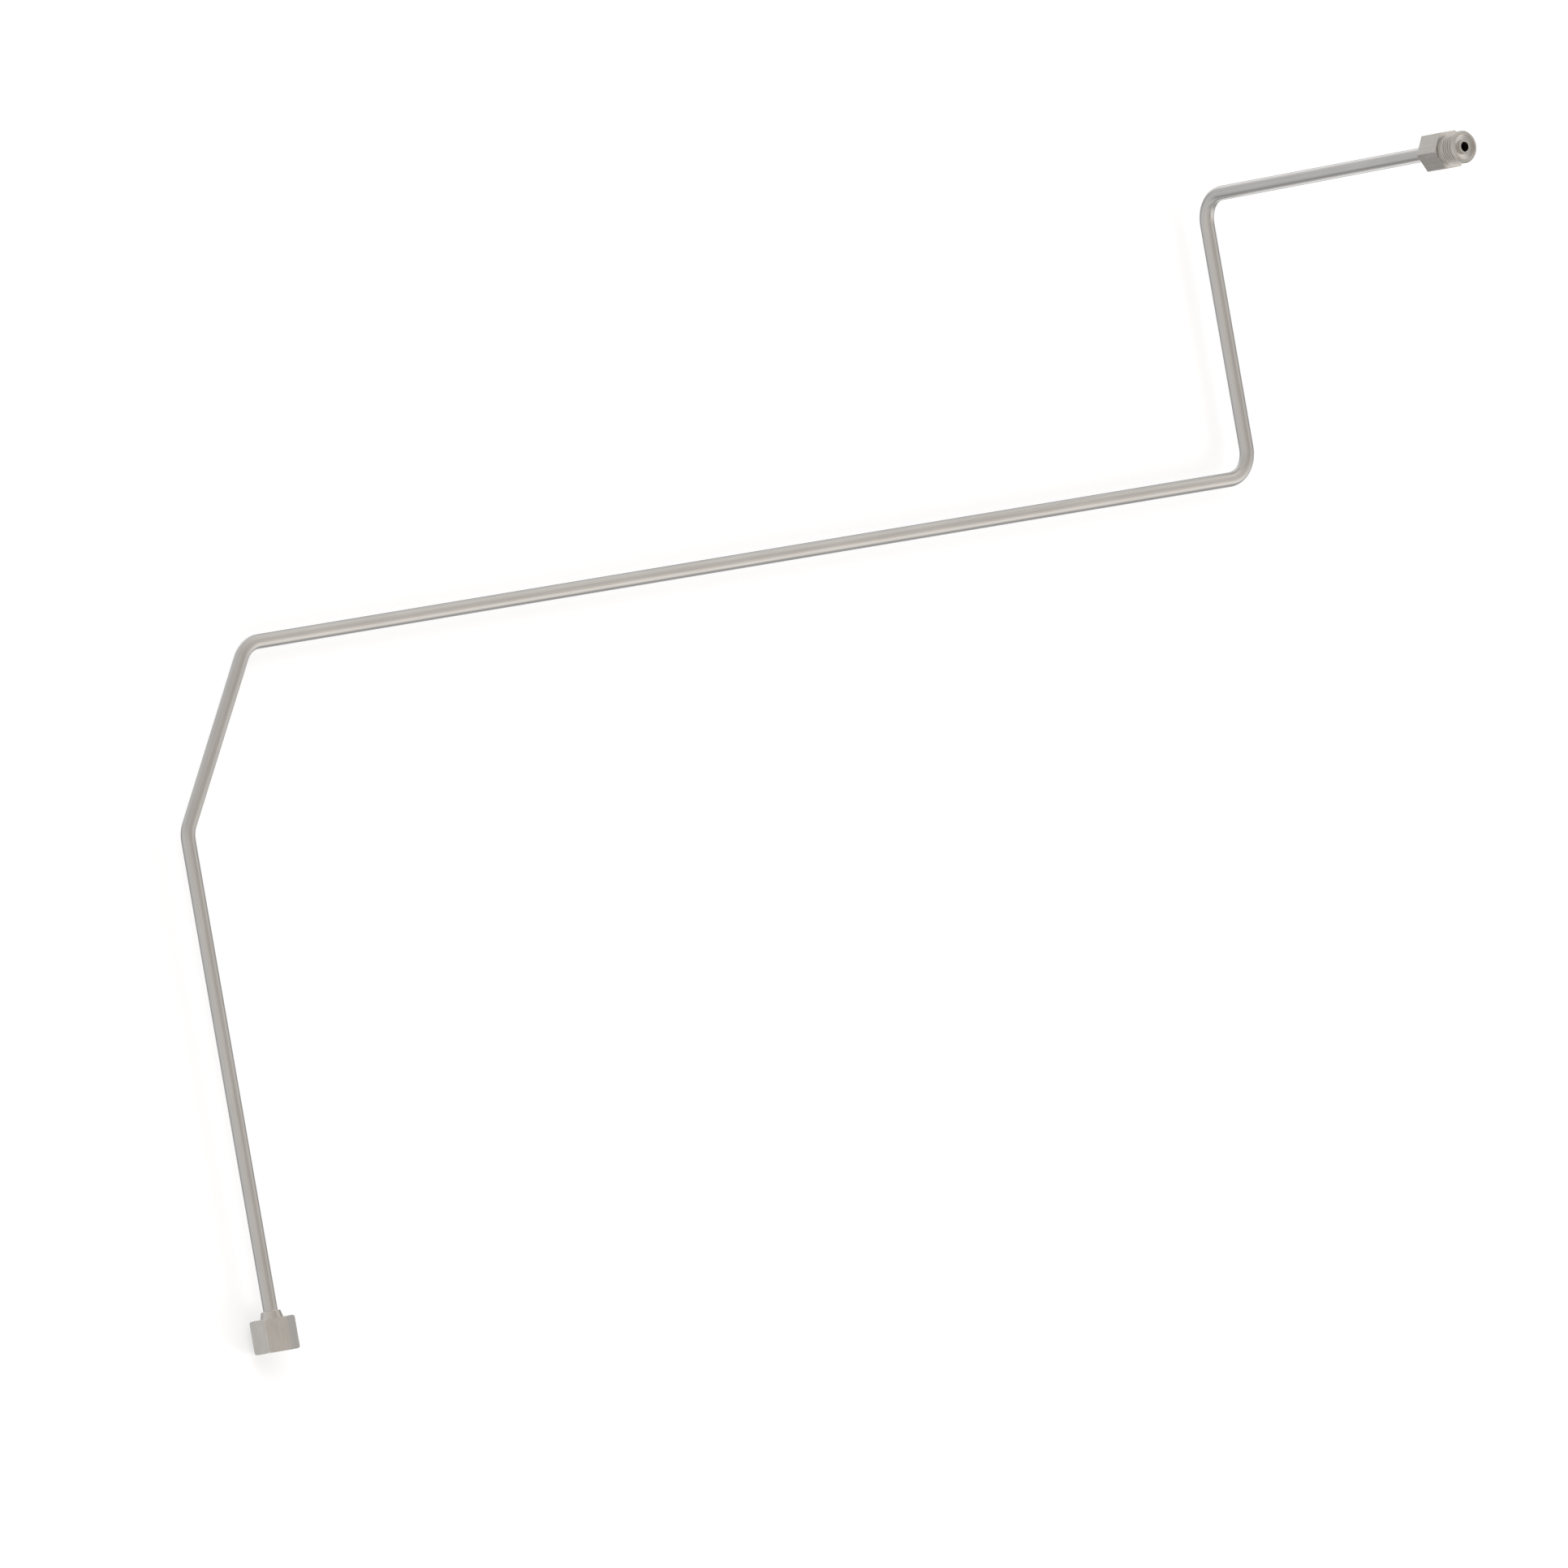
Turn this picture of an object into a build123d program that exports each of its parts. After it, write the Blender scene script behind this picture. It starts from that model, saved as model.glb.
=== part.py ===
from build123d import *
from math import radians, tan
import os

# A rigid brake line, bent from one length of steel tube. A male connector with a flat grooved
# face is brazed to one end. The other end carries a brazed sleeve and a loose swivel nut.
# Sizes are in millimetres. The origin is the middle of the sleeve's flat sealing face.
# +Y runs from there up the first leg, +X along the long leg, +Z up the leg to the connector.

# Tube
tube_diameter = 6.35
tube_wall = 0.889
bend_radius = 12.7

# Legs of the tube's centre line, from corner to corner
nut_leg = 218.8
offset_across = 50.8
offset_along = 76.2
long_leg = 581.6
side_leg = 124.0
riser = 155.8

# Thread, the same on the connector and in the nut
thread_diameter = 14.288
thread_pitch = 1.411
relief_clearance = 0.1

# Brazed sockets
braze_gap = 0.05
socket_depth = 8.0

# Male connector
connector_flats = 15.875
connector_hexagon_length = 12.4
connector_face_circle = 17.0
connector_relief_length = 2.0
connector_thread_length = 6.6
connector_lead_length = 1.1
connector_face_diameter = 13.0
connector_bore = 4.3
groove_inner_diameter = 6.2
groove_outer_diameter = 11.3
groove_depth = 2.5

# Sleeve
head_length = 2.0
head_clearance = 0.18
head_edge = 0.35
neck_diameter = 10.0
web_thickness = 2.5
tail_length = 3.05
tail_diameter = 8.5

# Swivel nut
nut_flats = 17.463
nut_reach = 8.5
nut_back_wall = 2.93
nut_face_circle = 18.0
mouth_edge = 0.15
relief_lead = 0.3
back_edge = 0.3
swivel_clearance = 0.08
shoulder_gap = 0.15

# Cone that takes the corners off both hexagons, and the depths of a 60 degree thread
cone_angle = 30.0
inside_depth_per_pitch = 0.5413
outside_depth_per_pitch = 0.6134

# Radii that follow from the sizes above
tube_radius = tube_diameter / 2
tube_bore_radius = tube_radius - tube_wall
socket_radius = tube_radius + braze_gap
thread_radius = thread_diameter / 2
inside_thread_radius = thread_radius - inside_depth_per_pitch * thread_pitch
outside_relief_radius = thread_radius - outside_depth_per_pitch * thread_pitch - relief_clearance
inside_relief_radius = thread_radius + relief_clearance
head_radius = inside_thread_radius - head_clearance
neck_radius = neck_diameter / 2
tail_radius = tail_diameter / 2
nut_bore_radius = neck_radius + swivel_clearance
mouth_radius = thread_radius + mouth_edge

# Places along the first leg, from the sealing face. Both shoulders lie at 45 degrees.
neck_start = head_length + head_radius - neck_radius
shoulder_start = head_length + shoulder_gap + head_radius - inside_relief_radius
shoulder_end = head_length + shoulder_gap + head_radius - nut_bore_radius
nut_back = shoulder_end + nut_back_wall
tail_end = nut_back + tail_length

# Places along the connector, from the back of its hexagon
thread_start = connector_hexagon_length + connector_relief_length
thread_end = thread_start + connector_thread_length
connector_face = thread_end + connector_lead_length
relief_flank_start = thread_start - (thread_radius - outside_relief_radius)

# Corners of the tube's centre line
offset_corner = Vector(0, nut_leg, 0)
long_corner = offset_corner + Vector(offset_across, offset_along, 0)
side_corner = long_corner + Vector(long_leg, 0, 0)
riser_corner = side_corner + Vector(0, side_leg, 0)
connector_back = riser_corner + Vector(0, 0, riser)
tube_start = Vector(0, web_thickness, 0)
tube_end = connector_back + Vector(0, 0, socket_depth)

# Planes across each end piece, with the normal along the tube, and planes of their sections
mouth_plane = Plane(origin=(0, -nut_reach, 0), x_dir=(1, 0, 0), z_dir=(0, 1, 0))
tube_start_plane = Plane(origin=tube_start, x_dir=(1, 0, 0), z_dir=(0, 1, 0))
connector_plane = Plane(origin=connector_back, x_dir=(1, 0, 0), z_dir=(0, 0, 1))
connector_section = Plane(origin=connector_back, x_dir=(1, 0, 0), z_dir=(0, -1, 0))
connector_axis = Axis(origin=connector_back, direction=(0, 0, 1))


def bar_radius(flats):
    """Radius of a round bar that holds the whole hexagon, corners included."""
    return 0.6 * flats


def cone_length(flats, face_circle):
    """Length of the cone from a hexagon's face circle out to the bar."""
    return (bar_radius(flats) - face_circle / 2) * tan(radians(cone_angle))


# Tube: one sweep of its ring along five straight legs and four equal bends
with BuildPart() as tube:
    with BuildLine() as centre_line:
        FilletPolyline(
            tube_start,
            offset_corner,
            long_corner,
            side_corner,
            riser_corner,
            tube_end,
            radius=bend_radius,
        )
    with BuildSketch(tube_start_plane):
        Circle(tube_radius)
        Circle(tube_bore_radius, mode=Mode.SUBTRACT)
    sweep(path=centre_line.line)

# Male connector: turned from hexagon bar
with BuildPart() as male_connector:
    with BuildSketch(connector_section):
        with BuildLine():
            Polyline(
                (0, 0),
                (bar_radius(connector_flats), 0),
                (
                    bar_radius(connector_flats),
                    connector_hexagon_length - cone_length(connector_flats, connector_face_circle),
                ),
                (connector_face_circle / 2, connector_hexagon_length),
                (0, connector_hexagon_length),
                close=True,
            )
        make_face()
    revolve(axis=connector_axis)
    with BuildSketch(connector_plane):
        RegularPolygon(connector_flats / 2, 6, major_radius=False)
    extrude(amount=connector_hexagon_length, both=True, mode=Mode.INTERSECT)
    # The relief, the thread and its lead stand in front of the hexagon
    with BuildSketch(connector_section):
        with BuildLine():
            Polyline(
                (0, connector_hexagon_length),
                (outside_relief_radius, connector_hexagon_length),
                (outside_relief_radius, relief_flank_start),
                (thread_radius, thread_start),
                (thread_radius, thread_end),
                (connector_face_diameter / 2, connector_face),
                (0, connector_face),
                close=True,
            )
        make_face()
    revolve(axis=connector_axis)
    # The ring groove in the flat face
    with BuildSketch(connector_plane.offset(connector_face)):
        Circle(groove_outer_diameter / 2)
        Circle(groove_inner_diameter / 2, mode=Mode.SUBTRACT)
    extrude(amount=-groove_depth, mode=Mode.SUBTRACT)
    # The socket for the tube, and the bore from there to the face
    with Locations(-connector_plane):
        CounterBoreHole(
            radius=connector_bore / 2,
            counter_bore_radius=socket_radius,
            counter_bore_depth=socket_depth,
        )

# Sleeve: turned, with its section drawn to the right of the first leg
with BuildPart() as sleeve:
    with BuildSketch(Plane.XY):
        with BuildLine():
            Polyline(
                (tube_bore_radius, 0),
                (head_radius - head_edge, 0),
                (head_radius, head_edge),
                (head_radius, head_length),
                (neck_radius, neck_start),
                (neck_radius, nut_back),
                (tail_radius, tail_end),
                (socket_radius, tail_end),
                (socket_radius, web_thickness),
                (tube_bore_radius, web_thickness),
                close=True,
            )
        make_face()
    revolve(axis=Axis.Y)

# Swivel nut: turned from hexagon bar, open at the mouth, with a shoulder behind the sleeve's head
with BuildPart() as swivel_nut:
    with BuildSketch(Plane.XY):
        with BuildLine():
            Polyline(
                (mouth_radius, -nut_reach),
                (nut_face_circle / 2, -nut_reach),
                (bar_radius(nut_flats), -nut_reach + cone_length(nut_flats, nut_face_circle)),
                (bar_radius(nut_flats), nut_back - cone_length(nut_flats, nut_face_circle)),
                (nut_face_circle / 2, nut_back),
                (nut_bore_radius + back_edge, nut_back),
                (nut_bore_radius, nut_back - back_edge),
                (nut_bore_radius, shoulder_end),
                (inside_relief_radius, shoulder_start),
                (inside_relief_radius, -relief_lead),
                (inside_thread_radius, -relief_lead),
                (inside_thread_radius, -nut_reach + mouth_radius - inside_thread_radius),
                close=True,
            )
        make_face()
    revolve(axis=Axis.Y)
    with BuildSketch(mouth_plane):
        RegularPolygon(nut_flats / 2, 6, major_radius=False, rotation=30)
    extrude(amount=nut_back + nut_reach, both=True, mode=Mode.INTERSECT)

tube.part.label = "tube"
male_connector.part.label = "male_connector"
sleeve.part.label = "sleeve"
swivel_nut.part.label = "swivel_nut"

os.makedirs("parts", exist_ok=True)
export_step(tube.part, "parts/tube.step")
export_step(male_connector.part, "parts/male_connector.step")
export_step(sleeve.part, "parts/sleeve.step")
export_step(swivel_nut.part, "parts/swivel_nut.step")
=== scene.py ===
from math import ceil, cos, log, pi, radians, sin, tan

import bmesh
import bpy
from mathutils import Matrix, Vector


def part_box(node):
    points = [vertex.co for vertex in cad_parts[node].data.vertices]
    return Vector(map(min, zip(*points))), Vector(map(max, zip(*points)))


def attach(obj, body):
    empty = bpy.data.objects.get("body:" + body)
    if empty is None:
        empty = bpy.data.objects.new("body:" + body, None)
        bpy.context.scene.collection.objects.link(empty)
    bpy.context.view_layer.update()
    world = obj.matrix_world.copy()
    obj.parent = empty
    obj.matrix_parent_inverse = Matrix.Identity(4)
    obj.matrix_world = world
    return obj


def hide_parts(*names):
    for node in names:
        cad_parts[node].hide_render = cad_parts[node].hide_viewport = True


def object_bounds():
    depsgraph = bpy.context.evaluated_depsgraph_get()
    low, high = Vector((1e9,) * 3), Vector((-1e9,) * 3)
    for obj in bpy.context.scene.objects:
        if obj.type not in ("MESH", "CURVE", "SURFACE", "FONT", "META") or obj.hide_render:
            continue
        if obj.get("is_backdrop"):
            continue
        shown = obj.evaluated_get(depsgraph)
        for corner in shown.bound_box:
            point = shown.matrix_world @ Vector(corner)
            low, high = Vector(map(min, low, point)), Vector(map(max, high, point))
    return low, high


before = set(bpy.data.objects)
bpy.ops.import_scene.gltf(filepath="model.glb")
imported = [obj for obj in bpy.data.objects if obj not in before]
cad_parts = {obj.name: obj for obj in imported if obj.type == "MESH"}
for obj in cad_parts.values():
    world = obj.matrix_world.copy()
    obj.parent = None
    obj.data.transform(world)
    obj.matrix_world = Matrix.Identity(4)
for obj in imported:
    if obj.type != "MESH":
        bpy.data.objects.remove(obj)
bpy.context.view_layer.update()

mm = 0.001  # sizes below are in millimetres, meshes are in metres
weldDistance = 0.001 * mm
scene = bpy.context.scene
print("frame loaded with", ", ".join(sorted(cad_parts)))


class Wire:  # an output socket, so that sums of sockets read as sums
    def __init__(self, sheet, socket):
        self.sheet = sheet
        self.socket = socket

    def also(self, name):  # another output of the same node
        return Wire(self.sheet, self.socket.node.outputs[name])

    def __add__(self, other):
        return self.sheet.maths("ADD", self, other)

    def __radd__(self, other):
        return self.sheet.maths("ADD", other, self)

    def __sub__(self, other):
        return self.sheet.maths("SUBTRACT", self, other)

    def __rsub__(self, other):
        return self.sheet.maths("SUBTRACT", other, self)

    def __mul__(self, other):
        return self.sheet.maths("MULTIPLY", self, other)

    def __rmul__(self, other):
        return self.sheet.maths("MULTIPLY", other, self)

    def __truediv__(self, other):
        return self.sheet.maths("DIVIDE", self, other)

    def __rtruediv__(self, other):
        return self.sheet.maths("DIVIDE", other, self)


class NodeSheet:  # a node tree with one way to add any node
    def __init__(self, tree):
        self.tree = tree

    def add(self, kind, settings=None, inputs=None, output=0):
        node = self.tree.nodes.new(kind)
        for name, value in (settings or {}).items():
            setattr(node, name, value)
        for key, value in (inputs or {}).items():
            if isinstance(value, Wire):
                self.tree.links.new(value.socket, node.inputs[key])
            else:
                node.inputs[key].default_value = value
        return Wire(self, node.outputs[output]) if node.outputs else None

    def maths(self, operation, *values):
        return self.add("ShaderNodeMath", {"operation": operation}, dict(enumerate(values)))

    def vector(self, *parts):
        return self.add("ShaderNodeCombineXYZ", None, dict(enumerate(parts)))

    def parts(self, vector):  # gives x, and y and z through also
        return self.add("ShaderNodeSeparateXYZ", None, {0: vector})

    def stretch(self, vector, factors):  # a vector times another, part by part
        return self.add("ShaderNodeVectorMath", {"operation": "MULTIPLY"}, {0: vector, 1: factors})

    def blend(self, share, first, second):  # colours
        return self.add("ShaderNodeMix", {"data_type": "RGBA"}, {0: share, 6: first, 7: second}, output=2)

    def ease(self, value, low, high):  # 0 at low, 1 at high, smooth between
        return self.add(
            "ShaderNodeMapRange",
            {"interpolation_type": "SMOOTHSTEP"},
            {"Value": value, "From Min": low, "From Max": high},
        )

    def noise(self, vector, detail=2.0, roughness=0.5):
        return self.add(
            "ShaderNodeTexNoise",
            None,
            {"Vector": vector, "Scale": 1.0, "Detail": detail, "Roughness": roughness},
        )

    def attribute(self, name, output="Fac"):
        return self.add("ShaderNodeAttribute", {"attribute_name": name}, output=output)

    def store(self, geometry, kind, name, value):  # keeps a value on the points of a geometry
        return self.add(
            "GeometryNodeStoreNamedAttribute",
            {"data_type": kind, "domain": "POINT"},
            {"Geometry": geometry, "Name": name, "Value": value},
        )


def emptySheet(owner):  # the cleared tree of a material or a world
    owner.use_nodes = True
    owner.node_tree.nodes.clear()
    return NodeSheet(owner.node_tree)


def geometrySheet(name, inputs):  # an empty Geometry Nodes tree and the wires of its inputs
    tree = bpy.data.node_groups.new(name, "GeometryNodeTree")
    tree.interface.new_socket("Geometry", in_out="INPUT", socket_type="NodeSocketGeometry")
    for label, kind in inputs.items():
        tree.interface.new_socket(label, in_out="INPUT", socket_type="NodeSocket" + kind)
    tree.interface.new_socket("Geometry", in_out="OUTPUT", socket_type="NodeSocketGeometry")
    sheet = NodeSheet(tree)
    return sheet, sheet.add("NodeGroupInput")


def closeSheet(sheet, geometry, material):
    real = sheet.add("GeometryNodeRealizeInstances", None, {"Geometry": geometry})
    dressed = sheet.add("GeometryNodeSetMaterial", None, {"Geometry": real, "Material": material})
    sheet.add("NodeGroupOutput", None, {"Geometry": dressed})


def growMesh(sheet, base, values):  # runs a tree on a mesh and keeps the result as a plain mesh
    holder = bpy.data.objects.new(sheet.tree.name, base)
    scene.collection.objects.link(holder)
    modifier = holder.modifiers.new("shape", "NODES")
    modifier.node_group = sheet.tree
    for socket in sheet.tree.interface.items_tree:
        if socket.in_out == "INPUT" and socket.name in values:
            modifier[socket.identifier] = values[socket.name]
    depsgraph = bpy.context.evaluated_depsgraph_get()
    mesh = bpy.data.meshes.new_from_object(
        holder.evaluated_get(depsgraph), preserve_all_data_layers=True, depsgraph=depsgraph
    )
    holder.modifiers.remove(modifier)
    bpy.data.objects.remove(holder)
    return mesh


def crispEdges(shell, limit=25):  # smooth shading, with a crease where two faces meet at an angle
    for face in shell.faces:
        face.smooth = True
    for edge in shell.edges:
        edge.smooth = edge.calc_face_angle(0) < radians(limit)


def shellMesh(name, shell, place, material):
    openEdges = sum(not edge.is_manifold for edge in shell.edges)
    print(name, "closed with", openEdges, "open edges")
    mesh = bpy.data.meshes.new(name)
    shell.to_mesh(mesh)
    shell.free()
    mesh.transform(place)
    mesh.materials.clear()
    mesh.materials.append(material)
    return mesh


def setPiece(name, mesh, body, node):
    piece = bpy.data.objects.new(name, mesh)
    scene.collection.objects.link(piece)
    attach(piece, body)
    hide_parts(node)
    print(name, "made with", len(mesh.polygons), "faces")


# Steel finishes

bumpStrength = 0.5
toneRange = (0.3, 0.7)  # the stretch of the noise in which the steel goes from dull to pale


def cells(width, length):  # factors for noise whose cells have this width and length in millimetres
    return 1 / (width * mm), 1 / (width * mm), 1 / (length * mm)


def shared(share, first, second):
    return (1 - share) * first + share * second


def closeSteel(sheet, colour, roughness, height, bumpDepth):
    bump = sheet.add(
        "ShaderNodeBump",
        None,
        {"Strength": bumpStrength, "Distance": bumpDepth * mm, "Height": height},
    )
    metal = sheet.add(
        "ShaderNodeBsdfPrincipled",
        None,
        {"Base Color": colour, "Metallic": 1.0, "Roughness": roughness, "Normal": bump},
    )
    sheet.add("ShaderNodeOutputMaterial", None, {"Surface": metal})


def drawnTubeSteel(look):  # streaks from the drawing die run along the tube, round every bend
    material = bpy.data.materials.new("drawnTubeSteel")
    sheet = emptySheet(material)
    place = sheet.attribute("straightPlace", "Vector")
    streakCells = cells(look["streakWidth"], look["streakLength"])
    hairlineCells = cells(look["hairlineWidth"], look["hairlineLength"])
    patchCells = cells(look["patchWidth"], look["patchLength"])
    streaks = sheet.noise(sheet.stretch(place, streakCells), 3.0, 0.6)
    hairlines = sheet.noise(sheet.stretch(place, hairlineCells), 1.0)
    patches = sheet.noise(sheet.stretch(place, patchCells), 3.0)
    tone = sheet.ease(shared(look["patchesInTone"], streaks, patches), *toneRange)
    colour = sheet.blend(tone, look["dull"], look["pale"])
    spread = shared(look["patchesInGloss"], streaks, patches)
    roughness = look["roughness"] + look["roughnessSpread"] * spread
    closeSteel(sheet, colour, roughness, streaks + look["hairlineHeight"] * hairlines, look["bumpDepth"])
    return material


def turnedSteel(name, look, turn, centre):  # lathe rings on turned faces, drawn streaks on the flats
    material = bpy.data.materials.new(name)
    sheet = emptySheet(material)
    place = sheet.add("ShaderNodeTexCoord", output="Object")
    local = sheet.add(
        "ShaderNodeMapping",
        {"vector_type": "TEXTURE"},
        {"Vector": place, "Location": centre, "Rotation": turn},
    )
    along = sheet.parts(local).also("Z")
    sideways = sheet.stretch(local, (1, 1, 0))
    radius = sheet.add("ShaderNodeVectorMath", {"operation": "LENGTH"}, {0: sideways}, output="Value")
    perFeed = 1 / (look["feed"] * mm)
    perBand = perFeed / look["feedsInBand"]
    rings = sheet.noise(sheet.vector(radius * perFeed, along * perFeed), 2.0, 0.6)
    bands = sheet.noise(sheet.vector(radius * perBand, along * perBand, look["bandSeed"]), 1.0)
    streakCells = cells(look["streakWidth"], look["streakLength"])
    patchCells = cells(look["patchWidth"], look["patchLength"])
    streaks = sheet.noise(sheet.stretch(local, streakCells), 3.0, 0.6)
    patches = sheet.noise(sheet.stretch(local, patchCells), 3.0)
    flat = sheet.attribute("drawnFlat")
    worn = sheet.attribute("wornEdge")
    # tint carries each ring's painted light and painted shade
    tint = sheet.attribute("paintedRowShading")
    turned = 1 - flat
    grain = turned * shared(look["bandsInRings"], rings, bands) + flat * streaks
    tone = sheet.ease(shared(look["patchesInTone"], grain, patches), *toneRange)
    colour = sheet.blend(tone, look["dull"], look["pale"])
    grooveShadeMask = sheet.ease(sheet.attribute("threadDepth"), *look["grooveShadeRange"])  # painted shade: the thread's grooves are darkened as if in shadow
    colour = sheet.blend(grooveShadeMask * look["grooveShade"], colour, look["grooveShadeColour"])
    colour = sheet.blend(worn * look["wear"], colour, look["wornColour"])
    # painted light makes faces paler and painted shade makes them greyer, by the sign of their tint
    colour = sheet.blend(sheet.maths("MAXIMUM", tint, 0), colour, look["paintedLightColour"])
    colour = sheet.blend(sheet.maths("MAXIMUM", 0 - tint, 0), colour, look["paintedShadeColour"])
    spread = shared(look["patchesInGloss"], grain, patches)
    roughness = look["roughness"] + look["roughnessSpread"] * spread
    roughness = roughness + look["grooveShadeRoughness"] * grooveShadeMask - look["wearPolish"] * worn
    height = turned * rings + look["streakHeight"] * flat * streaks
    closeSteel(sheet, colour, roughness, height, look["bumpDepth"])
    return material


# Screw thread, one tree for the connector's and the nut's

lathe = {
    "sides": 144,
    "threadSteps": 16,  # rows of faces in one pitch
    "pitch": 1.411,
    "flankAngle": 30,
    "grooveShadeFade": 0.4,  # in pitches, over which the painted groove shade fades at both ends of a thread
}
angles = [2 * pi * side / lathe["sides"] for side in range(lathe["sides"])]


def threadSheet():
    sheet, given = geometrySheet(
        "screwThread",
        {
            "Pitch": "Float",
            "Start": "Float",
            "End": "Float",
            "Major Radius": "Float",
            "Minor Radius": "Float",
            "Major Width": "Float",
            "Outside": "Float",
            "Start Radius": "Float",
            "Start Slope": "Float",
            "End Slope": "Float",
            "End Radius": "Float",
            "Sides": "Int",
            "Rows": "Int",
            "Steps Per Pitch": "Float",
            "Material": "Material",
        },
    )
    pitch, start, end = given.also("Pitch"), given.also("Start"), given.also("End")
    outside, rows = given.also("Outside"), given.also("Rows")
    height = rows * pitch / given.also("Steps Per Pitch")
    grid = sheet.add(
        "GeometryNodeMeshGrid",
        None,
        {"Size X": 2 * pi, "Size Y": height, "Vertices X": given.also("Sides") + 1, "Vertices Y": rows + 1},
    )
    spot = sheet.parts(sheet.add("GeometryNodeInputPosition"))
    angle, row = spot, spot.also("Y")  # the grid is the thread's surface rolled out flat
    first = start - 0.5 * pitch
    climb = angle * pitch / (2 * pi)  # the rows run along the helix, so crests and roots stay crisp
    along = sheet.maths("MAXIMUM", row + 0.5 * height + first + climb, start)
    along = sheet.maths("MINIMUM", along, end)
    fromCrest = sheet.maths("PINGPONG", along - climb - first, 0.5 * pitch)
    major, minor = given.also("Major Radius"), given.also("Minor Radius")
    flank = major - (fromCrest - 0.5 * given.also("Major Width")) / tan(radians(lathe["flankAngle"]))
    thread = sheet.maths("MINIMUM", sheet.maths("MAXIMUM", flank, minor), major)
    startCone = given.also("Start Radius") + outside * (along - start) * given.also("Start Slope")
    endCone = given.also("End Radius") - (end - along) * given.also("End Slope")
    chamfered = outside * sheet.maths("MINIMUM", outside * thread, outside * startCone)
    radius = sheet.maths("MAXIMUM", chamfered, endCone)
    depth = 0.5 + outside * ((major - thread) / (major - minor) - 0.5)  # 0 on a crest, 1 in a groove
    fromEnds = sheet.maths("MINIMUM", along - start, end - along)
    depth = depth * sheet.ease(fromEnds, 0, lathe["grooveShadeFade"] * pitch)
    place = sheet.vector(radius * sheet.maths("COSINE", angle), radius * sheet.maths("SINE", angle), along)
    # threadDepth is the mask of the painted shade in the thread's grooves
    marked = sheet.store(grid, "FLOAT", "threadDepth", depth)
    wound = sheet.add("GeometryNodeSetPosition", None, {"Geometry": marked, "Position": place})
    welded = sheet.add("GeometryNodeMergeByDistance", None, {"Geometry": wound, "Distance": weldDistance})
    closeSheet(sheet, welded, given.also("Material"))
    return sheet


screwThread = threadSheet()


def threadMesh(thread, outside, material):
    length = thread["end"] - thread["start"]
    return growMesh(
        screwThread,
        bpy.data.meshes.new("threadBase"),
        {
            "Pitch": lathe["pitch"] * mm,
            "Start": thread["start"] * mm,
            "End": thread["end"] * mm,
            "Major Radius": thread["major"] * mm,
            "Minor Radius": thread["minor"] * mm,
            "Major Width": thread["majorWidth"] * mm,
            "Outside": outside,
            "Start Radius": thread["startRadius"] * mm,
            "Start Slope": thread["startSlope"],
            "End Radius": thread["endRadius"] * mm,
            "End Slope": thread["endSlope"],
            "Sides": lathe["sides"],
            "Rows": ceil((length / lathe["pitch"] + 1) * lathe["threadSteps"]),
            "Steps Per Pitch": float(lathe["threadSteps"]),
            "Material": material,
        },
    )


# Turned pieces, built ring by ring

cornerAngle = 30  # degrees, past which two drawn flats meet in a corner
cornerSteps = 3


def ring(points, tone=0.0, drawn=0.0):  # both values hold for the faces from this ring to the next; tone is painted light above 0 and painted shade below 0
    return {"points": points, "tone": tone, "drawn": drawn}


def turnedRings(profile):  # points of (radius, along), with a painted tone, paler for painted light and greyer for painted shade, where the faces after it have one
    return [ring([point[:2]] * lathe["sides"], *point[2:]) for point in profile]


def hexagonReach(flats, angle):  # from the axis to the outline, with a corner at 0
    return flats / 2 / cos(angle % (pi / 3) - pi / 6)


def crownPoints(bar, face, towards):  # both rims of the cone that takes the corners off an end
    onFlats, onFace = [], []
    for angle in angles:
        reach = hexagonReach(bar["flats"], angle)
        kept = min(reach, bar["faceCircle"] / 2)
        onFlats.append((reach, face - towards * (reach - kept) * tan(radians(bar["coneAngle"]))))
        onFace.append((kept, face))
    return onFlats, onFace


def ringShell(rings, thread=None, cornerRound=0):
    shell = bmesh.new()
    drawn = shell.faces.layers.float.new("drawnFlat")
    worn = shell.faces.layers.float.new("wornEdge")
    tone = shell.faces.layers.float.new("paintedRowShading")
    loops = [
        [
            shell.verts.new((radius * cos(angle) * mm, radius * sin(angle) * mm, along * mm))
            for (radius, along), angle in zip(band["points"], angles)
        ]
        for band in rings
    ]
    for band, low, high in zip(rings, loops, loops[1:]):
        for side in range(lathe["sides"]):
            face = shell.faces.new((low[side - 1], low[side], high[side], high[side - 1]))
            face[drawn] = band["drawn"]
            # each face keeps its ring's painted light and shade
            face[tone] = band["tone"]
    if thread:
        shell.from_mesh(thread)
    bmesh.ops.remove_doubles(shell, verts=shell.verts, dist=weldDistance)
    bmesh.ops.recalc_face_normals(shell, faces=shell.faces)
    corners = [
        edge
        for edge in shell.edges
        if all(face[drawn] for face in edge.link_faces) and edge.calc_face_angle(0) > radians(cornerAngle)
    ]
    if corners:
        rounded = bmesh.ops.bevel(
            shell,
            geom=corners,
            offset=cornerRound * mm,
            offset_type="OFFSET",
            segments=cornerSteps,
            profile=0.5,
            affect="EDGES",
        )
        for face in rounded["faces"]:
            face[worn] = 1.0
    crispEdges(shell)
    return shell


# Tube

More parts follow.
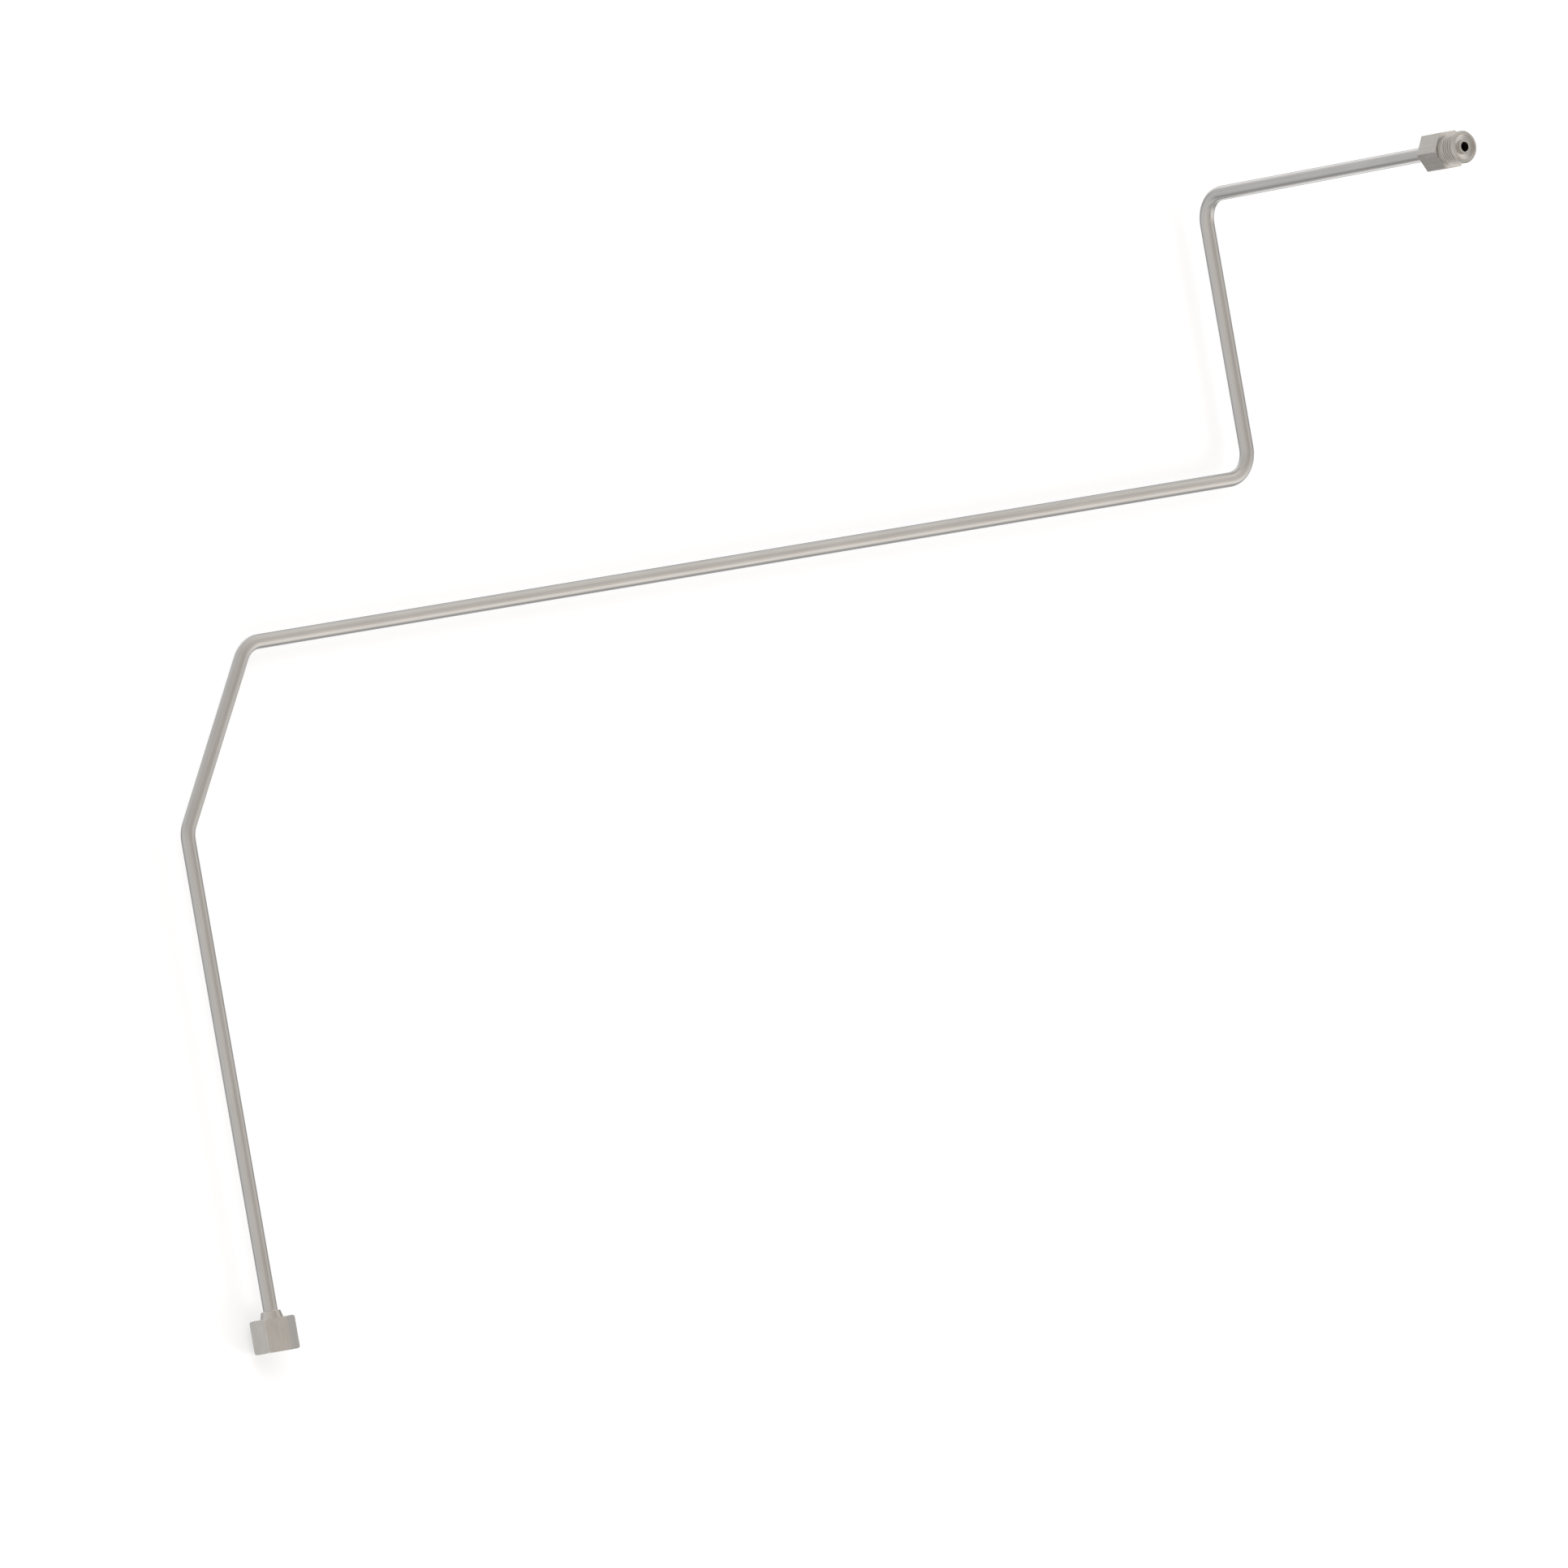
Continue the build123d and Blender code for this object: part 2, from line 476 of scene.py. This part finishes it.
tube = {
    "radius": 3.175,
    "boreRadius": 2.286,
    "bendRadius": 12.7,
    "route": [
        (0, 2.5, 0),
        (0, 218.8, 0),
        (50.8, 295, 0),
        (632.4, 295, 0),
        (632.4, 419, 0),
        (632.4, 419, 163.8),
    ],
    "sides": 64,
    "bendSteps": 24,
    "steel": {
        "pale": (0.64, 0.63, 0.615, 1),
        "dull": (0.555, 0.545, 0.53, 1),
        "streakWidth": 0.35,
        "streakLength": 60,
        "hairlineWidth": 0.113,
        "hairlineLength": 26.1,
        "hairlineHeight": 0.5,
        "patchWidth": 8.33,
        "patchLength": 22,
        "patchesInTone": 0.35,
        "patchesInGloss": 0.4,
        "roughness": 0.17,
        "roughnessSpread": 0.1,
        "bumpDepth": 0.003,
    },
}


def tubeSheet():
    sheet, given = geometrySheet(
        "bentTube",
        {
            "Radius": "Float",
            "Bore Radius": "Float",
            "Bend Radius": "Float",
            "Sides": "Int",
            "Bend Steps": "Int",
            "Material": "Material",
        },
    )
    route = sheet.add("GeometryNodeMeshToCurve", None, {"Mesh": given})
    bent = sheet.add(
        "GeometryNodeFilletCurve",
        {"mode": "POLY"},
        {"Curve": route, "Count": given.also("Bend Steps"), "Radius": given.also("Bend Radius")},
    )
    run = sheet.store(bent, "FLOAT", "alongRun", sheet.add("GeometryNodeSplineParameter", output="Length"))
    walls = []
    for label in ("Radius", "Bore Radius"):
        circle = sheet.add(
            "GeometryNodeCurvePrimitiveCircle",
            None,
            {"Resolution": given.also("Sides"), "Radius": given.also(label)},
        )
        section = sheet.store(circle, "FLOAT_VECTOR", "ringPlace", sheet.add("GeometryNodeInputPosition"))
        walls.append(sheet.add("GeometryNodeCurveToMesh", None, {"Curve": run, "Profile Curve": section}))
    both = sheet.add("GeometryNodeJoinGeometry", None, {0: walls[0]})
    sheet.tree.links.new(walls[1].socket, both.socket.node.inputs[0])
    ringPlace = sheet.add(
        "GeometryNodeInputNamedAttribute", {"data_type": "FLOAT_VECTOR"}, {"Name": "ringPlace"}
    )
    alongRun = sheet.add("GeometryNodeInputNamedAttribute", {"data_type": "FLOAT"}, {"Name": "alongRun"})
    spot = sheet.parts(ringPlace)
    straight = sheet.vector(spot, spot.also("Y"), alongRun)  # where a point would be on a straight tube
    marked = sheet.store(both, "FLOAT_VECTOR", "straightPlace", straight)
    closeSheet(sheet, marked, given.also("Material"))
    return sheet


def makeTube(sizes):
    material = drawnTubeSteel(sizes["steel"])
    route = [Vector(corner) * mm for corner in sizes["route"]]
    base = bpy.data.meshes.new("tubeRoute")
    base.from_pydata(route, [(corner, corner + 1) for corner in range(len(route) - 1)], [])
    mesh = growMesh(
        tubeSheet(),
        base,
        {
            "Radius": sizes["radius"] * mm,
            "Bore Radius": sizes["boreRadius"] * mm,
            "Bend Radius": sizes["bendRadius"] * mm,
            "Sides": sizes["sides"],
            "Bend Steps": sizes["bendSteps"],
            "Material": material,
        },
    )
    shell = bmesh.new()
    shell.from_mesh(mesh)
    reach = 2 * sizes["radius"] * mm
    for end in (route[0], route[-1]):  # a flat rim joins the outside and the bore at each end
        rim = [edge for edge in shell.edges if edge.is_boundary and (edge.verts[0].co - end).length < reach]
        bmesh.ops.bridge_loops(shell, edges=rim)
    bmesh.ops.recalc_face_normals(shell, faces=shell.faces)
    crispEdges(shell)
    mesh = shellMesh("bentTube", shell, Matrix.Identity(4), material)
    setPiece("bentTube", mesh, "line", "tube")


makeTube(tube)


# Male connector

connector = {
    "flats": 15.875,
    "faceCircle": 17.0,
    "coneAngle": 30,
    "hexagonLength": 12.4,
    "backEdge": 0.1,
    "cornerRound": 0.15,
    "thread": {
        "start": 13.434,
        "end": 21.0,
        "major": 7.144,
        "minor": 6.2275,
        "majorWidth": 0.36,
        "startRadius": 6.178,
        "startSlope": 1.0,
        "endRadius": 7.144,
        "endSlope": 2.5,
    },
    # (radius, along) from the thread's end over the nose, groove, bore and socket to the braze fillet, then
    # the painted tone of the faces that start there, from -1, greyer painted shade, to 1, paler painted
    # light
    "nose": [
        (7.144, 21.0, -0.4),
        (6.56, 22.0, -0.6),
        (6.44, 22.1, -0.75),
        (5.72, 22.1),
        (5.65, 22.03, 1.0),
        (5.65, 19.8, 1.0),
        (5.59, 19.66, 1.0),
        (5.45, 19.6, 1.0),
        (3.3, 19.6, 1.0),
        (3.16, 19.66, 1.0),
        (3.1, 19.8, 1.0),
        (3.1, 22.03, 1.0),
        (3.03, 22.1, -1.0),
        (2.3, 22.1),
        (2.15, 21.95),
        (2.15, 8.0),
        (3.177, 8.0),
        (3.177, -0.4, 1.0),
        (3.28, -0.18, 1.0),
        (3.42, -0.05, 1.0),
        (3.62, 0.0),
    ],
    # painted light on the shoulder and the relief, paler where they lie in shade
    "shoulderPaintedLight": 1.0,
    "relief": [(6.42, 12.4, 1.0), (6.25, 12.47, 0.5), (6.178, 12.64, 0.5), (6.178, 13.434)],
    "steel": {
        "pale": (0.672, 0.648, 0.616, 1),
        "dull": (0.586, 0.563, 0.533, 1),
        "wornColour": (0.69, 0.67, 0.642, 1),
        # colours of the painted light and the painted shade of the rows
        "paintedLightColour": (0.765, 0.755, 0.738, 1),
        "paintedShadeColour": (0.497, 0.485, 0.464, 1),
        # painted shade in the thread's grooves: its colour, strength and depth range, then the grooves'
        # roughness
        "grooveShadeColour": (0.16, 0.15, 0.14, 1),
        "grooveShade": 0.72,
        "grooveShadeRange": (0.12, 0.85),
        "grooveShadeRoughness": 0.12,
        "wear": 0.6,
        "wearPolish": 0.04,
        "feed": 0.12,
        "feedsInBand": 7,
        "bandSeed": 3.0,
        "bandsInRings": 0.4,
        "streakWidth": 0.357,
        "streakLength": 14.3,
        "streakHeight": 0.6,
        "patchWidth": 5.26,
        "patchLength": 6.67,
        "patchesInTone": 0.4,
        "patchesInGloss": 0.5,
        "roughness": 0.18,
        "roughnessSpread": 0.12,
        "bumpDepth": 0.003,
    },
}


def makeConnector(sizes):
    low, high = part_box("male_connector")
    foot = Vector(((low.x + high.x) / 2, (low.y + high.y) / 2, low.z))
    material = turnedSteel("connectorSteel", sizes["steel"], (0, 0, 0), foot)
    backWall = [(hexagonReach(sizes["flats"], angle), sizes["backEdge"]) for angle in angles]
    backFace = [(reach - edge, 0) for reach, edge in backWall]
    frontWall, shoulder = crownPoints(sizes, sizes["hexagonLength"], 1)
    sides = [ring(backFace), ring(backWall, drawn=1.0), ring(frontWall)]
    front = [ring(shoulder, sizes["shoulderPaintedLight"]), *turnedRings(sizes["relief"])]
    thread = threadMesh(sizes["thread"], 1.0, material)
    shell = ringShell(turnedRings(sizes["nose"]) + sides + front, thread, sizes["cornerRound"])
    mesh = shellMesh("maleConnector", shell, Matrix.Translation(foot), material)
    setPiece("maleConnector", mesh, "line", "male_connector")


makeConnector(connector)


# Sleeve

sleeve = {
    # (radius, along) from the bore round the head, neck and tail, and over the braze into the socket
    "profile": [
        (2.286, 0.12),
        (2.4, 0.0),
        (5.85, 0.0),
        (5.98, 0.04),
        (6.16, 0.22),
        (6.2, 0.35),
        (6.2, 1.93),
        (6.14, 2.06),
        (5.08, 3.12),
        (5.0, 3.3),
        (5.0, 6.15),
        (4.98, 6.28),
        (4.28, 9.13),
        (4.18, 9.25),
        (3.62, 9.25),
        (3.42, 9.31),
        (3.28, 9.45),
        (3.177, 9.68),
        (3.177, 2.5),
        (2.286, 2.5),
        (2.286, 0.12),
    ],
    "steel": dict(connector["steel"], feed=0.15),
}


def makeSleeve(sizes):
    low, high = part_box("sleeve")
    foot = Vector(((low.x + high.x) / 2, low.y, (low.z + high.z) / 2))
    turn = (-pi / 2, 0, 0)
    material = turnedSteel("sleeveSteel", sizes["steel"], turn, foot)
    shell = ringShell(turnedRings(sizes["profile"]))
    place = Matrix.Translation(foot) @ Matrix.Rotation(turn[0], 4, "X")
    mesh = shellMesh("brazedSleeve", shell, place, material)
    setPiece("brazedSleeve", mesh, "line", "sleeve")


makeSleeve(sleeve)


# Swivel nut

nut = {
    "flats": 17.463,
    "faceCircle": 18.0,
    "coneAngle": 30,
    "length": 14.7,
    "cornerRound": 0.15,
    "thread": {
        "start": 0.0,
        "end": 8.2,
        "major": 7.144,
        "minor": 6.38,
        "majorWidth": 0.176,
        "startRadius": 7.294,
        "startSlope": 1.0,
        "endRadius": 7.244,
        "endSlope": 1.2,
    },
    # (radius, along) from the thread's inner end over the shoulder and bore to the back face
    "inside": [
        (7.244, 8.2),
        (7.244, 9.606),
        (5.12, 11.73),
        (5.08, 11.83),
        (5.08, 14.4),
        (5.16, 14.6),
        (5.38, 14.7),
    ],
    "steel": dict(connector["steel"], feed=0.14),
}


def makeNut(sizes):
    low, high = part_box("swivel_nut")
    foot = Vector(((low.x + high.x) / 2, low.y, (low.z + high.z) / 2))
    turn = Matrix(((0, 1, 0), (0, 0, 1), (1, 0, 0)))  # the nut's x is the line's z, and its z the line's y
    material = turnedSteel("nutSteel", sizes["steel"], turn.to_euler(), foot)
    backWall, backFace = crownPoints(sizes, sizes["length"], 1)
    mouthWall, mouthFace = crownPoints(sizes, 0, -1)
    hexagon = [ring(backFace), ring(backWall, drawn=1.0), ring(mouthWall), ring(mouthFace)]
    mouth = turnedRings([(sizes["thread"]["startRadius"], 0)])
    thread = threadMesh(sizes["thread"], -1.0, material)
    shell = ringShell(turnedRings(sizes["inside"]) + hexagon + mouth, thread, sizes["cornerRound"])
    mesh = shellMesh("swivelNut", shell, Matrix.Translation(foot) @ turn.to_4x4(), material)
    setPiece("swivelNut", mesh, "nut", "swivel_nut")


makeNut(nut)


# Floor, studio light and camera

white = (1, 1, 1, 1)

floorLook = {
    "size": 9.0,
    "colour": (0.73, 0.745, 0.77, 1),
    "glow": 0.45,
}


def makeFloor(look):
    low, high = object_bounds()
    half = look["size"] / 2
    middle = (low + high) / 2
    corners = [(-half, -half), (half, -half), (half, half), (-half, half)]
    mesh = bpy.data.meshes.new("studioFloor")
    mesh.from_pydata([(middle.x + x, middle.y + y, low.z) for x, y in corners], [], [(0, 1, 2, 3)])
    material = bpy.data.materials.new("paleFloor")
    sheet = emptySheet(material)
    path = sheet.add("ShaderNodeLightPath")
    seen = sheet.maths("MAXIMUM", path, path.also("Is Glossy Ray"))
    seen = sheet.maths("MAXIMUM", seen, path.also("Is Transmission Ray"))
    matt = sheet.add("ShaderNodeBsdfDiffuse", None, {"Color": look["colour"]})
    glow = sheet.add("ShaderNodeEmission", None, {"Color": white, "Strength": seen * look["glow"]})
    both = sheet.add("ShaderNodeAddShader", None, {0: matt, 1: glow})
    sheet.add("ShaderNodeOutputMaterial", None, {"Surface": both})
    mesh.materials.append(material)
    floor = bpy.data.objects.new("studioFloor", mesh)
    scene.collection.objects.link(floor)
    floor.visible_glossy = False  # the steel mirrors the white studio instead
    floor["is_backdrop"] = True


studio = {
    "level": 0.77,
    "overheadTint": (1.056, 1.0, 0.942, 1),
    "tintHeights": (-0.7, 0.9),
    # where a panel stands, half its width in degrees, and what it adds to the level
    "panels": {
        "ceiling": ((0.06, 0.2, 0.98), 29, -0.24),
        "tableShade": ((-0.17, 0.12, -0.98), 18, -0.3),
        "frontSoftbox": ((0.69, -0.62, 0.33), 21, 0.5),
        "rightFlag": ((0.98, 0.15, 0.1), 16, -0.5),
        "lowFrontCard": ((0.25, -0.60, -0.76), 14, 0.51),
        "lowBackCard": ((0.31, 0.50, -0.81), 13, 0.61),
        "lowFrontFlag": ((-0.36, -0.52, -0.775), 14, -0.42),
        "frontFlag": ((0.6, -0.79, -0.11), 18, -0.42),
        "backSoftbox": ((0.65, 0.68, 0.30), 26, 0.14),
        "backShade": ((-0.54, 0.8, 0.2), 28, -0.11),
        "edgeShade": ((0.65, 0.0, -0.76), 17, -0.5),
        "upperEdgeShade": ((0.75, 0.33, -0.57), 12, -0.4),
        "lowerEdgeShade": ((0.68, -0.6, -0.44), 13, -0.16),
        "lowShade": ((-0.18, -0.98, 0.05), 18, -0.22),
        "frontShade": ((0.06, -0.7, 0.71), 18, -0.28),
    },
    "lamps": {
        "rightSoftbox": {"place": (1.6, -1.2, 1.4), "size": 1.2, "power": 9},
        "leftSoftbox": {"place": (-1.2, 1.3, 1.6), "size": 1.4, "power": 9},
    },
}


def makeWorld(look):  # soft panels round the object, which only its steel mirrors
    world = bpy.data.worlds.new("whiteStudio")
    scene.world = world
    sheet = emptySheet(world)
    towards = sheet.add("ShaderNodeTexCoord", output="Generated")
    level = look["level"]
    for place, halfWidth, extra in look["panels"].values():
        aim = Vector(place).normalized()
        facing = sheet.add(
            "ShaderNodeVectorMath", {"operation": "DOT_PRODUCT"}, {0: towards, 1: aim}, output="Value"
        )
        falloff = log(2) / (1 - cos(radians(halfWidth)))
        level = level + extra * sheet.maths("EXPONENT", falloff * (facing - 1))
    height = sheet.parts(towards).also("Z")
    tint = sheet.blend(sheet.ease(height, *look["tintHeights"]), white, look["overheadTint"])
    path = sheet.add("ShaderNodeLightPath")
    seen = sheet.maths("MAXIMUM", path, path.also("Is Transmission Ray"))  # the camera sees a white room
    tint = sheet.blend(seen, tint, white)
    light = sheet.add("ShaderNodeBackground", None, {"Color": tint, "Strength": level * (1 - seen) + seen})
    sheet.add("ShaderNodeOutputWorld", None, {"Surface": light})


def makeLamps(look):
    low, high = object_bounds()
    middle = (low + high) / 2
    for name, lamp in look["lamps"].items():
        light = bpy.data.lights.new(name, "AREA")
        light.shape = "SQUARE"
        light.size = lamp["size"]
        light.energy = lamp["power"]
        holder = bpy.data.objects.new(name, light)
        scene.collection.objects.link(holder)
        holder.location = middle + Vector(lamp["place"])
        holder.rotation_euler = Vector(lamp["place"]).to_track_quat("Z", "Y").to_euler()
        holder.visible_camera = False
        holder.visible_glossy = False  # the steel mirrors the panels instead


cameraView = {
    "right": (0.75071, -0.17208, 0.63782),
    "back": (-0.64827, -0.00603, 0.76138),
    "place": (-19.2839, 0.0139, 23.0453),  # metres: so far off that the view is almost parallel
    "lens": 1600,
    "sensor": 36,
    "clipEnd": 100,
}


def makeCamera(view):
    camera = bpy.data.cameras.new("camera")
    camera.lens = view["lens"]
    camera.sensor_width = view["sensor"]
    camera.clip_end = view["clipEnd"]
    holder = bpy.data.objects.new("camera", camera)
    scene.collection.objects.link(holder)
    back = Vector(view["back"]).normalized()
    right = Vector(view["right"]).normalized()
    turn = Matrix((right, back.cross(right), back)).transposed()
    holder.matrix_world = Matrix.Translation(view["place"]) @ turn.to_4x4()
    scene.camera = holder


makeFloor(floorLook)
makeWorld(studio)
makeLamps(studio)
makeCamera(cameraView)
scene.view_settings.view_transform = "Standard"
print("floor, studio and camera placed")
